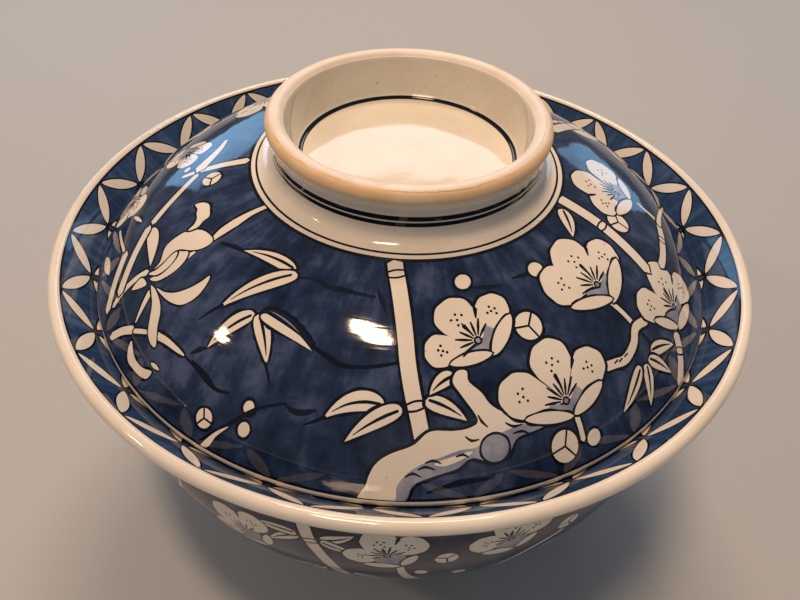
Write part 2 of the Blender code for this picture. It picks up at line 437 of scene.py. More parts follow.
def blossom(sheet, centre, petals, lenses, stamens):
    """A plum blossom: round petals (x, y, radius), folded petals as lenses, and its stamens.

    lenses are (start, end, width) and stamens are (first angle, last angle, length), in degrees.
    """
    first, last, reach = stamens
    bodies = []
    for x, y, radius in petals:
        middle = complex(x, y)
        away = middle - centre
        spread = math.acos(min(0.95, radius / abs(away)))
        start = math.atan2(-away.imag, -away.real) + spread
        edge = arc(middle, radius, start, start + 2 * (math.pi - spread), 36)
        angle = np.angle(edge - middle)
        wobble = 1.0 + 0.03 * np.sin(3.0 * angle + x) + 0.016 * np.sin(8.0 * angle + y)
        bodies.append(np.append(middle + wobble * (edge - middle), centre))
    folded = [lens(complex(*start), complex(*end), width, fullness=0.6, lean=1.0)
              for start, end, width in lenses]
    sheet.outlined(folded + bodies)
    for (x, y, radius), (next_x, next_y, next_radius) in zip(petals[:-1], petals[1:]):
        gap = complex(next_x - x, next_y - y)
        share = 0.5 * (abs(gap) ** 2 + radius**2 - next_radius**2) / abs(gap)
        meeting = complex(x, y) + share * gap / abs(gap)
        rise = math.sqrt(max(0.3, radius**2 - share**2)) * 1j * gap / abs(gap)
        notch = max((meeting + rise, meeting - rise), key=lambda point: abs(point - centre))
        inward = (centre - notch) / abs(centre - notch)
        sheet.stroke([notch - 0.3 * inward, notch + 0.7 * inward, notch + 1.5 * inward], [0.9, 0.6, 0.3])

    # A pale wash between the folded petals and the stamens.
    hollow = [centre + 0.8 * reach * toward(first)]
    for (start_x, start_y), (end_x, end_y), width in lenses:
        hollow.append(complex(0.55 * start_x + 0.45 * end_x, 0.55 * start_y + 0.45 * end_y))
        hollow.append(complex(end_x, end_y))
    hollow[3], hollow[4] = hollow[4], hollow[3]
    hollow.append(centre + 0.8 * reach * toward(last))
    hollow.append(centre - 0.2 * reach * toward(0.5 * (first + last)))
    sheet.fill(np.array(hollow), "wash")
    for shape in folded:
        sheet.outlined([shape], line=0.45)
    for i in range(8):
        outward = toward(first + (last - first) * i / 7)
        length = reach * (1.0 if i % 2 else 0.86)
        run = centre + np.array([0.26, 0.62, 1.0]) * length * outward
        sheet.stroke(run, [0.3, 0.56, 0.34])
    sheet.fill(oval(centre, 0.85), "ink")
    sheet.fill(oval(centre, 0.45), "wash")
    for x, y, radius in petals:
        middle = complex(x, y)
        outward = (middle - centre) / abs(middle - centre)
        for across, along in ((-0.30, 0.02), (-0.08, 0.24), (0.04, -0.02), (0.26, 0.16), (0.18, -0.24)):
            sheet.fill(oval(middle + radius * outward * (along - 0.12 + 1j * across), 0.27), "ink")


def bud(sheet, centre, radius):
    """A closed plum bud."""
    sheet.outlined([oval(centre, radius, 1.12 * radius, 60.0)])


def trefoil(sheet, centre, radius, turn=90.0):
    """A half-open bud of three lobes, parted by dark lines."""
    sheet.outlined([oval(centre, radius)])
    for arm in range(3):
        outward = toward(turn + 120 * arm)
        sheet.stroke([centre, centre + 0.5 * radius * outward, centre + radius * outward], 0.42)


def bamboo(sheet):
    """The bamboo spray in the middle, with its twigs of leaves to the left."""
    sheet.stroke(pairs(-19.3, -38.5, -16, -39, -13.3, -40.7, -10.7, -41.3, -8, -42, -4.7, -42.7),
                 [0.4, 0.6, 1.0, 1.1, 0.8, 0.7], "shade")
    stalk(sheet, pairs(-1.3, -35.2, -0.9, -37.6, -0.4, -40, 0.5, -45, 1.3, -50, 2, -55, 3.1, -60,
                       3.8, -62.3, 4.6, -65, 5.3, -67.5), 2.9, (-0.9 - 37.6j, 3.8 - 62.3j))
    sheet.stroke(pairs(-30, -31.8, -33, -30.2, -36.4, -28.6), [0.9, 0.7, 0.4])
    leaf(sheet, -20 - 37j, -31 - 31.2j, 2.6, -0.7, lean=-0.1)
    leaf(sheet, -19.5 - 37.8j, -34.6 - 43.2j, 3.3, -0.9, lean=-0.06)
    sheet.stroke(pairs(-34, -42.8, -36.4, -43.7, -39, -45), [0.8, 0.7, 0.3])
    leaf(sheet, -27.2 - 45.2j, -36.6 - 50.8j, 3.0, -0.7)
    leaf(sheet, -26.4 - 45.6j, -24.1 - 55.2j, 3.0, 0.4)
    leaf(sheet, -25.4 - 45.2j, -15.2 - 52.5j, 3.3, 0.35, rib=0.45, dark_side=1.0)
    sheet.stroke(pairs(-24.3, -54.9, -23.7, -57.2, -23.3, -59.3), [0.7, 0.5, 0.25])
    sheet.stroke(pairs(-15.4, -52.3, -12.3, -54.3, -10, -55.7, -6.7, -56, -3.3, -55.7, 0, -55),
                 [0.6, 1.1, 0.9, 0.7, 0.7, 0.6])
    leaf(sheet, -1.8 - 62.2j, -12.9 - 64.9j, 3.6, -1.5)
    sheet.stroke(pairs(-12.7, -64.7, -14.8, -65.5, -16.7, -66), [0.8, 0.6, 0.3])
    leaf(sheet, 1.3 - 62.8j, -8.9 - 68.9j, 3.2, -0.5)
    leaf(sheet, 5.6 - 61.2j, 13.4 - 64j, 2.8, 0.4)
    leaf(sheet, 10.4 - 56.2j, 6.2 - 60.2j, 2.6, -0.4)
    sheet.stroke(pairs(-40, -52.8, -36.7, -56, -34.7, -58.7, -31.7, -59.7), [0.5, 0.9, 0.8, 0.4])


def plum_trunk(sheet):
    """The gnarled trunk at the lid's edge, with its shoots."""
    upper_side = (-6, -79.2, -4.7, -76.3, -4, -74.3, -2.7, -72.3, -0.3, -70.7, 3.8, -69, 6.7, -66.5,
                  11, -66, 14, -65.2, 15.4, -63.6, 12.3, -60, 10.3, -57.6, 11, -55.6, 12.7, -55.4,
                  13.2, -57.2, 15.7, -58.9, 18, -61, 22.7, -62.3, 27.6, -62)
    trunk = pairs(*upper_side, 28.6, -63, 26.7, -64.2, 23.4, -66, 21.9, -69.4, 19, -70.7, 15, -70.4,
                  12.3, -72.5, 8, -74.2, 4.3, -76, 2.3, -79.2)
    light = pairs(*upper_side, 27.4, -62.8, 24, -63.4, 21.6, -64.6, 18.6, -66.2, 15.6, -68.4, 12.6, -69.2,
                  9.4, -70.6, 5.6, -72.2, 3, -74, 1.2, -76.4, 0.6, -79.2)
    sheet.outlined([smooth(trunk, closed=True)], "wash")
    sheet.fill(smooth(light, closed=True))
    sheet.fill(smooth(pairs(8, -71.9, 12.4, -70, 15, -69.2, 13.6, -70.5, 10, -72.2), closed=True))
    sheet.outlined([oval(19.3 - 68.2j, 2.4, 2.7, 20.0)], "wash", 0.45)
    bark_marks = (
        (2.7, -74.6, 4, -73.9, 5.6, -74.4), (5, -73.2, 6.4, -72.6, 8.2, -73),
        (6.3, -71.9, 7.8, -71.4, 9.2, -71.8), (12, -70.4, 13.2, -69.9, 14.4, -70.3),
        (15.4, -62.9, 16.2, -63.9, 17.4, -64.7), (20.8, -63.6, 22.4, -64, 24, -63.4),
        (22.6, -65.2, 24.2, -64.6, 26, -64.9), (13.4, -66.8, 14.6, -67.4, 16, -67),
    )
    for mark in bark_marks:
        sheet.stroke(pairs(*mark), [0.3, 0.55, 0.25])
    sheet.stem(1.1, 42, -36, 45, -37.4, 48.3, -39.3)
    sheet.stem(1.8, 51, -37, 48.3, -39.5, 47.9, -43, 46, -46.7, 43.3, -48.4, 41.3, -49.5)
    for start in pairs(43.2, -48.4, 44.3, -47.8, 45.6, -46.4):
        sheet.stroke([start, start + 0.7 + 0.9j], 0.35)
    sheet.stem(1.1, 35.3, -60, 36.6, -62, 37.7, -64)


def plum_blossoms(sheet):
    """The plum blossoms and buds at the right."""
    for centre, radius in ((11.5 - 38.2j, 1.45), (25.8 - 33j, 1.5), (40.2 - 63.2j, 1.5)):
        bud(sheet, centre, radius)
    for centre, radius, turn in ((24.2 - 45.3j, 2.7, 80.0), (33.8 - 66j, 3.0, 95.0)):
        trefoil(sheet, centre, radius, turn)
    blossom(sheet, 14.6 - 49.6j, ((10.3, -45.7, 3.9), (17.2, -43.2, 3.2), (7.8, -52.3, 3.0)),
            (((20.6, -43.6), (17.6, -52), 2.7), ((9.6, -54.6), (17.4, -51.6), 2.1)), (68, 232, 4.2))
    blossom(sheet, 32.7 - 57.8j, ((29, -51.3, 4.3), (37.2, -50.4, 3.7), (23.2, -58.5, 4.2)),
            (((40.4, -52.6), (34.9, -60), 2.7), ((24.6, -62.6), (34.8, -60.2), 2.2)), (62, 200, 4.6))
    blossom(sheet, 39 - 33j, ((33.8, -28.5, 4.8), (41, -25.2, 3.9), (31, -35.2, 4.3)),
            (((44.2, -24.8), (42.6, -36), 3.2), ((33, -39.8), (42.6, -35), 2.4)), (64, 222, 4.6))
    blossom(sheet, 60.7 - 29.5j, ((57, -25, 4.7), (64.3, -22.6, 3.5), (52.4, -33, 3.7)),
            (((67.2, -25.4), (62.3, -34.2), 2.8), ((53.8, -35.8), (62.2, -33.8), 2.2)), (68, 225, 4.6))


def plum_leaves(sheet):
    """Bamboo leaves and stalks between the blossoms at the right."""
    stalk(sheet, pairs(61.5, -36, 63, -39, 63.8, -42, 64.2, -46), 2.4, (63 - 39j,))
    leaf(sheet, 53 - 43j, 60.4 - 38.6j, 2.8, 0.4)
    leaf(sheet, 52.3 - 44.8j, 60.2 - 45j, 2.7, 0.3)
    leaf(sheet, 51.7 - 46j, 54.6 - 53.8j, 2.7, 0.3)
    leaf(sheet, 50 - 47j, 46.9 - 57.1j, 2.6, 0.3)


def right_stalks(sheet):
    """The stalks at the right, and the blossom on the ring's right."""
    stalk(sheet, pairs(32.6, -12.2, 41.8, -16.8, 52.4, -23.9), 2.7, (41.8 - 16.8j,))
    leaf(sheet, 32.5 - 15.3j, 34.4 - 22.6j, 3.0, 0.3)
    stalk(sheet, pairs(57.5, -20.4, 58.5, -17.7, 59.3, -14, 59.8, -10, 60, -6), 1.9, (59.4 - 11.5j,))
    sheet.stem([1.6, 1.2, 0.9, 0.6], 60, -6, 58.4, -4.6, 56, -3.8, 54, -2.8)
    sheet.stem([1.6, 1.2, 0.9, 0.6], 60, -6, 61.4, -2, 63.4, 2, 66, 6)
    trefoil(sheet, 46.3 - 13.7j, 2.7, 100.0)
    blossom(sheet, 48 - 3j, ((45.4, 4.3, 4.1), (40.5, -3.3, 4.2), (43.6, -9, 3.4)),
            (((50.2, 4.6), (51.6, -3), 2.5), ((52, -3), (46.6, -11), 2.7)), (112, 236, 4.4))
    stalk(sheet, pairs(35.2, 18.6, 39.6, 24.4, 44.5, 30.8, 50, 39), 3.0, (42 + 27.5j,))


def orchid(sheet):
    """The orchid at the left: broad bent blades and flowers on thin stems."""
    sheet.stem([1.0, 1.3, 2.1, 1.9, 0.9], -28, -20.2, -31, -21.6, -34, -23.6, -36.6, -25.4, -38.6, -27.2)
    sheet.stem(1.4, -64.6, -34.5, -61.3, -32.4, -57.3, -31, -54.2, -30.6)
    blades = (
        pairs(-43.2, -29.3, -41.8, -29.4, -43.6, -30.7),
        pairs(-52.8, -32.7, -50, -32.4, -48, -31.3, -46.7, -30, -46.3, -28.2, -43.8, -28.8, -44, -30.7,
              -45.7, -32.5, -48.3, -33.6, -50.9, -33.8),
        pairs(-53.4, -31.3, -51, -30.9, -48.7, -29, -46.6, -28, -46.7, -29.7, -48.4, -31.5, -51, -32.3),
        pairs(-52, -30.6, -50.6, -29.2, -50, -25.9, -48, -24.2, -45, -23.2, -42, -23.7, -40, -25,
              -38.4, -27, -38.9, -28.2, -40.9, -28.9, -43.3, -28.6, -45.7, -27.7, -47.4, -27.8,
              -49, -29, -50.2, -29.9),
        pairs(-58.2, -33.4, -55.6, -31.5, -53.8, -33.8),
        pairs(-50.4, -35.6, -48, -37.2, -45, -38, -41.7, -37.7, -39.2, -36.8, -37.6, -35.9, -38, -37.6,
              -39.6, -39.7, -41.7, -40.8, -44, -40.9, -46.7, -39.5, -49, -37.4),
        pairs(-52.2, -34.4, -50.7, -36, -49.3, -38.7, -48.8, -41.3, -49.3, -44.3, -49.6, -48.2, -51, -47.4,
              -51.9, -45, -51.6, -42, -51.3, -39, -51.8, -36.4),
    )
    sheet.stem([1.5, 1.3, 0.4], -52.3, -35.9, -53.7, -38, -55.9, -41.4)
    sheet.stem(1.8, -64.6, -41.8, -60.5, -42, -57, -42.8)
    sheet.stem([1.0, 1.0, 0.8], -56.2, -43.3, -54, -44, -51.8, -44.8)
    sheet.stem([1.5, 1.3, 0.9, 0.3], -49.6, -45.9, -46.7, -47.7, -43.6, -50.2, -42, -51.5)
    sheet.stroke(pairs(-42, -51.5, -38.7, -54.7, -36.7, -57, -34.7, -58.7, -32, -59.8),
                 [0.4, 0.8, 0.8, 0.8, 0.4])
    for edge in blades:
        sheet.outlined([smooth(edge, closed=True)], line=0.42)
    sheet.petal(-57, -45.2, -56.4, -48, -55.3, -50, -53.3, -51.8, -50.8, -53, -52.3, -54.1,
                -54.4, -53.2, -56.4, -51.4, -58, -49.7, -58.5, -48, -58, -46)
    sheet.outlined([lens(-51 - 51.2j, -48.5 - 53.2j, 0.9)], line=0.3)
    leaf(sheet, -55.6 - 18.4j, -53.4 - 29.4j, 3.2, 0.6, rib=0.0)
    trefoil(sheet, -37.5 - 63.8j, 1.9, 85.0)
    bud(sheet, -27.5 - 62.6j, 1.1)
    bud(sheet, -28.7 - 66.5j, 1.25)
    sheet.stroke(pairs(-40, -68.3, -35, -66.4, -31.7, -65.3, -28.3, -63.8, -25, -62.8, -20, -62.2),
                 [0.5, 0.8, 0.9, 0.8, 0.7, 0.4])
    sheet.petal(-39, -68.8, -37, -69.1, -35, -67.4, -32, -65.8, -35.4, -66.7, line=0.35)


def left_stalks(sheet):
    """The stalks, buds and blossoms at the left of the ring."""
    sheet.petal(-44.8, -15.7, -43, -15.6, -41.3, -16.7, -40.7, -18.7, -40.5, -20.4, -41.7, -21.4,
                -42.7, -22.8, -44.9, -23.1, -43.7, -21.7, -43.4, -20.2, -43.8, -18.6, -43.9, -17.2)
    trefoil(sheet, -42.6 - 7.9j, 2.2, 30.0)
    stalk(sheet, pairs(-35.2, -3.7, -43, -3.4, -51, -3.5), [2.0, 1.7, 1.1])
    stalk(sheet, pairs(-42.8, 8, -43.9, 3.4, -46.9, -2.4), [0.8, 1.8, 2.9])
    stalk(sheet, pairs(-47.2, -4.9, -51, -10.4, -55.6, -16.5), [1.4, 1.7, 1.9])
    stalk(sheet, pairs(-56.8, -18, -59.6, -24.4, -62.6, -32), [2.1, 2.2, 2.3])
    stalk(sheet, pairs(-63.2, -22.2, -65.4, -28.4, -67.2, -34.4), 2.3)
    sheet.stem(0.8, -69.4, -11, -67, -15.6, -64.2, -20.4)
    sheet.stem([0.6, 1.0, 0.4], -63.8, -10.2, -62, -12, -60.2, -13.9)
    sheet.outlined([lens(-73.6 - 16.6j, -69 - 24.6j, 2.6)])
    bud(sheet, -50.7 - 0.9j, 0.8)
    blossom(sheet, -53.4 + 8.2j, ((-52, 3.8, 2.9), (-49.6, 7.6, 2.9), (-56.8, 7.4, 2.9)),
            (((-59, 9), (-55.4, 12.4), 2.0), ((-49, 11), (-54.4, 12.2), 2.0)), (205, 372, 3.2))
    blossom(sheet, -68 - 0.5j, ((-65, -5.3, 3.4), (-70.6, -4.6, 3.3), (-72.4, 0.6, 2.8)),
            (((-64, -1.5), (-66.4, 3.6), 2.4), ((-72, 3.4), (-66.6, 3.6), 2.0)), (175, 325, 3.6))


def ground_strokes(sheet):
    """Darker brush strokes left in the cobalt ground."""
    strokes = (
        (-4.2, -41, -3.2, -43.4, -2.6, -45.4), (13, -39.2, 16, -38.8, 18.7, -38),
        (21, -36, 24.5, -34.2, 27.7, -32.2),
        (-20.2, -62.4, -19.2, -63.3, -17.6, -63.9, -15.6, -63.8, -14.3, -63.5),
        (-40.5, -51.4, -38.4, -50.9, -36.8, -50.8), (49, -39.6, 52, -41, 55, -43.6),
        (-36.4, -28.2, -33, -30, -30.4, -31.6), (7, -77.2, 13, -75, 20, -73.4),
    )
    for stroke in strokes:
        run = pairs(*stroke)
        sheet.stroke(run, 0.4 + 0.8 * np.sin(np.linspace(0.0, math.pi, len(run))), "shade")


def lid_painting():
    """The lid's dome. The sheet's radius grows with the distance down it; its lowest side is the front."""
    ground_edge = 78.6
    collar_line = 34.95
    sheet = Painting("ink")
    sheet.disc(ground_edge, "ground")
    sheet.disc(collar_line, "ink")
    half_turn = complex(-1.0, 0.0)
    for turn in (1.0, half_turn):
        sheet.place = lambda points, turn=turn: points * turn
        ground_strokes(sheet)
        bamboo(sheet)
        orchid(sheet)
        plum_leaves(sheet)
        plum_trunk(sheet)
        plum_blossoms(sheet)
    sheet.place = lambda points: points
    left_stalks(sheet)
    right_stalks(sheet)
    return sheet


def band_painting(inner_radius):
    """The chain of petals inside the bowl's rim. The sheet's radius grows up the flare to the lip."""
    repeats = 25
    first = math.radians(-71.2)
    unevenness = math.radians(0.7)
    top = inner_radius + FLARE_LENGTH
    upper_joint = 0.25          # distances down from the lip's inner edge to the chain's joints
    lower_joint = 7.65
    chain_end = 13.25
    sheet = Painting("ink")
    sheet.disc(top - 0.5, "blue")

    def joint(step, down):
        angle = first + 2 * math.pi * step / repeats
        angle += unevenness * math.cos(angle)
        return (top - down) * unit(angle)

    for step in range(repeats):
        for way in (-0.5, 0.5):
            upper = joint(step, upper_joint)
            lower = joint(step + way, lower_joint)
            end = joint(step + 2 * way, chain_end)
            short = 0.06 * (lower - upper)
            for base, tip, width, fullness, finish in (
                (upper, lower, 3.5, 0.75, "ink"),
                (lower, end, 3.0, 0.75, "ink"),
                (lower + 0.12 * (end - lower), end, 2.2, 0.7, "white"),
                (upper + short, lower - short, 2.6, 0.68, "white"),
            ):
                sheet.fill(lens(base, tip, width, fullness=fullness, lean=1.0), finish)
    sheet.disc(inner_radius + 0.9, "ink")
    sheet.disc(inner_radius + 0.4, "white")
    return sheet


def side_blossom(sheet, centre, turn, size=1.0):
    """A plum blossom of the bowl's outside, turned by degrees."""
    spin = size * toward(turn)

    def moved(x, y):
        point = complex(x, y) * spin
        return centre.real + point.real, centre.imag + point.imag

    petals = tuple((*moved(x, y), radius * size) for x, y, radius in
                   ((-1.6, -4.9, 3.7), (4.3, -4.1, 3.3), (-5.2, 1.0, 3.2)))
    lenses = tuple((moved(*start), moved(*end), width * size) for start, end, width in
                   (((-4.6, 4.9), (2.6, 5.1), 2.2), ((5.7, -0.4), (2.9, 4.6), 2.2)))
    blossom(sheet, centre, petals, lenses, (150 + turn, 330 + turn, 3.8 * size))


def bamboo_twig(sheet, root, turn, leaves):
    """Bamboo leaves fanning out from one place; each leaf is (angle, length)."""
    for angle, length in leaves:
        outward = toward(turn + angle)
        leaf(sheet, root + 0.8 * outward, root + length * outward, 2.5, 0.4)


def rim_spray(sheet):
    """One length of the bowl's outside: plum, bamboo and orchid leaves. x runs round, y down."""
    for mark in ((-30, 44, -24, 47, -17, 46), (52, 58, 60, 62, 70, 61), (-50, 12, -44, 15, -38, 14),
                 (30, 14, 38, 17, 46, 15), (-10, 66, -2, 70, 5, 68), (58, 30, 62, 36, 63, 42)):
        sheet.stroke(pairs(*mark), [0.6, 1.6, 0.5], "shade")
    stalk(sheet, pairs(-11.5, 1.5, -8.6, 10, -6, 19, -4.8, 24, -2.4, 31, 0.6, 40, 4.6, 52, 9, 64, 13.5, 76,
                       17.5, 89), 2.6, (-8.6 + 10j, -4.8 + 24j, 0.0 + 38j, 6.2 + 56j, 12.4 + 73j))
    for root, turn, leaves in (
        (-6.6 + 22.5j, 160, ((-22, 9.5), (16, 10.5))),
        (-3.4 + 22.8j, 0, ((-26, 8.0), (22, 8.4))),
        (-2.4 + 37.6j, 150, ((0, 10.5), (-34, 8.5))),
        (2.4 + 38.4j, 20, ((14, 8.5),)),
        (4.2 + 55.4j, 160, ((-14, 10.0), (22, 9.0))),
        (8.6 + 56.4j, 10, ((-6, 8.5), (34, 9.5))),
        (-28 + 6.4j, 90, ((-48, 10.5), (-6, 11.0), (42, 10.5))),
        (57 + 5.8j, 90, ((-40, 10.0), (4, 11.5), (46, 9.5))),
    ):
        bamboo_twig(sheet, root, turn, leaves)
    stalk(sheet, pairs(68, 1.5, 70, 12, 71, 24, 70.4, 36, 68, 50, 64, 66, 60, 78, 57, 89), 2.2,
          (70.2 + 14j, 70.7 + 31j, 66.8 + 55j))
    for root, turn, leaves in (
        (69 + 14.6j, 150, ((-10, 9.5), (26, 8.5))),
        (71.6 + 30.6j, 20, ((-28, 9.0), (14, 10.0))),
        (69.2 + 31.6j, 160, ((-6, 9.5),)),
        (65.4 + 56j, 150, ((-18, 9.0), (18, 8.0))),
        (68.4 + 55.6j, 20, ((10, 9.5),)),
    ):
        bamboo_twig(sheet, root, turn, leaves)
    trunk = ribbon(pairs(44, 90, 37, 81, 30, 71, 24, 60, 20.5, 52, 15.5, 45, 13, 36, 12.5, 30),
                   [9.0, 7.6, 6.4, 5.0, 4.0, 3.0, 1.8, 1.2])
    branch = ribbon(pairs(21, 53, 28, 47, 33, 40, 40, 34, 47, 30.5), [3.2, 2.6, 2.0, 1.6, 1.1])
    shoot = ribbon(pairs(33, 76, 42, 70, 50, 66, 55, 60), [3.2, 2.2, 1.5, 1.0])
    sheet.outlined([trunk, branch, shoot])
    sheet.stroke(pairs(42, 89, 35.6, 81, 28.6, 71, 24, 61.6, 20.4, 53.6), [3.0, 2.6, 2.2, 1.6, 0.8], "wash")
    for start in pairs(22.5, 56, 25, 61, 19, 49.5, 30, 45, 35, 38.4, 31, 70, 36, 77, 40, 83, 45, 68):
        sheet.stroke([start, start + 1 - 0.6j, start + 1.9 + 0.2j], [0.3, 0.5, 0.25])
    for centre, turn, size in (
        (10 + 25.6j, 0, 1.0), (-19.4 + 31j, -25, 1.05), (34 + 24j, 12, 1.0), (47 + 45j, -8, 1.0),
        (-26 + 56j, 15, 1.0), (57.5 + 57j, 20, 0.9), (82 + 44j, -30, 1.0), (39 + 58j, 40, 0.85),
        (-5 + 76j, -15, 0.9),
    ):
        side_blossom(sheet, centre, turn, size)
    for centre, radius, turn in ((21.5 + 27.5j, 2.3, 80), (47.6 + 27j, 2.4, 60), (-13 + 58j, 2.3, 100),
                                 (-45.5 + 21j, 2.4, 90), (60 + 24j, 2.2, 40), (24 + 9j, 2.3, 70)):
        trefoil(sheet, centre, radius, turn)
    for centre, radius in ((24 + 38j, 1.4), (16.5 + 35j, 1.3), (-36 + 18j, 1.3), (56 + 41j, 1.3),
                           (31 + 6.5j, 1.2), (-52 + 33j, 1.3), (51 + 74j, 1.3), (-16 + 68j, 1.3),
                           (42 + 9j, 1.3)):
        bud(sheet, centre, radius)
    blade_roots = pairs(-38, 84, -40, 86, -42, 86, -45, 84, -37, 85)
    blade_tips = pairs(-27, 67, -36, 24, -47, 28, -60, 46, -32, 44)
    for root, tip, bend in zip(blade_roots, blade_tips, (-2.0, -3.0, 2.6, 4.5, 2.0)):
        sheet.outlined([lens(root, tip, 2.9, bend, fullness=0.8, lean=0.75)], line=0.42)


def outside_painting(outline, start, slope):
    """The bowl's outside: three repeats of one spray. The sheet's radius shrinks towards the foot."""
    length = outline.start["foot"] - outline.start["outside"]
    working_radius = 71.0       # of the bowl, where a spray is as wide as it is drawn
    belly = 30.0                # distance down from the lip; below it the spray spreads as the bowl narrows
    first_heading = -98.0
    sheet = Painting("white")
    for down, finish in ((1.0, "ink"), (1.5, "ground")):
        sheet.disc(start + slope * down, finish)
    for repeat in range(3):
        heading = math.radians(first_heading + 120.0 * repeat)

        def place(points, heading=heading):
            radius = start + slope * np.minimum(points.imag, length)
            spread = 1.0 + 0.25 * np.clip(points.imag - belly, 0.0, 60.0) / 40.0
            return radius * np.exp(1j * (heading + spread * points.real / working_radius))

        sheet.place = place
        rim_spray(sheet)
    for up_from_foot, finish in ((7.4, "ink"), (6.8, "white"), (5.4, "ink"), (5.0, "white")):
        sheet.disc(start + slope * (length - up_from_foot), finish)
    return sheet


# From paintings to surface.

def inside(points, shape):
    """Which points lie in the closed shape, by how often it winds round each."""
    after = np.roll(shape, -1)
    low, high = shape.imag, after.imag
    turns = np.zeros(len(points), int)
    block = max(1, PAIRS_AT_ONCE // len(shape))
    for first in range(0, len(points), block):
        part = points[first:first + block, None]
        side = ((after - shape)[None] * np.conj(part - shape[None])).imag
        rising = (low[None] <= part.imag) & (high[None] > part.imag) & (side < 0)
        falling = (low[None] > part.imag) & (high[None] <= part.imag) & (side > 0)
        turns[first:first + block] = rising.sum(1) - falling.sum(1)
    return turns != 0


def triangulated(sheet, inner, outer, spacing):
    """Triangles of the ring between two radii, cut along every painted shape.

    Returns the points, the triangles, each triangle's finish, and for every point on an edge loop its place
    in that loop (0 to SEGMENTS - 1 on the inner one, SEGMENTS to 2 * SEGMENTS - 1 on the outer one), or -1.
    """
    runs = [inner * FULL_TURN, outer * FULL_TURN]
    closed = [True, True]
    shapes = []
    for finish, shape in sheet.shapes:
        radius = np.clip(abs(shape), inner + SHEET_MARGIN, outer - SHEET_MARGIN)
        held = radius * shape / abs(shape)
        shapes.append((finish, held))
        apart = abs(np.roll(held, 1) - held) > NEAREST_POINTS
        if apart.sum() > 2:
            runs.append(held[apart])
            closed.append(True)
    rows = max(2, round((outer - inner) / spacing))
    for row in range(1, rows):
        radius = inner + (outer - inner) * row / rows
        count = round(2 * math.pi * radius / spacing)
        runs.append(radius * np.exp(2j * math.pi * (np.arange(count) + 0.5 * (row % 2)) / count))
        closed.append(False)
    vertices = [Vector((point.real, point.imag)) for point in np.concatenate(runs)]
    edges = []
    first = 0
    for run, is_closed in zip(runs, closed):
        count = len(run)
        if is_closed:
            edges.extend((first + i, first + (i + 1) % count) for i in range(count))
        first += count
    out = geometry.delaunay_2d_cdt(vertices, edges, [], 0, MERGE_DISTANCE, True)
    points = np.array([complex(v.x, v.y) for v in out[0]])
    triangles = np.array([tuple(face) for face in out[2]])
    rank = np.array([min((k for k in ids if k < 2 * SEGMENTS), default=-1) for ids in out[3]])
    on_inner = (rank >= 0) & (rank < SEGMENTS)
    triangles = triangles[~on_inner[triangles].all(1)]
    corners = points[triangles]
    area = (np.conj(corners[:, 1] - corners[:, 0]) * (corners[:, 2] - corners[:, 0])).imag
    triangles[area < 0] = triangles[area < 0][:, ::-1]
    triangles = triangles[abs(area) > LEAST_AREA]
    middles = points[triangles].mean(1)
    finish_of = np.full(len(triangles), FINISHES.index(sheet.base))
    for finish, shape in shapes:
        near = ((middles.real > shape.real.min()) & (middles.real < shape.real.max())
                & (middles.imag > shape.imag.min()) & (middles.imag < shape.imag.max()))
        where = np.nonzero(near)[0]
        finish_of[where[inside(middles[where], shape)]] = FINISHES.index(finish)
    return points, triangles, finish_of, rank


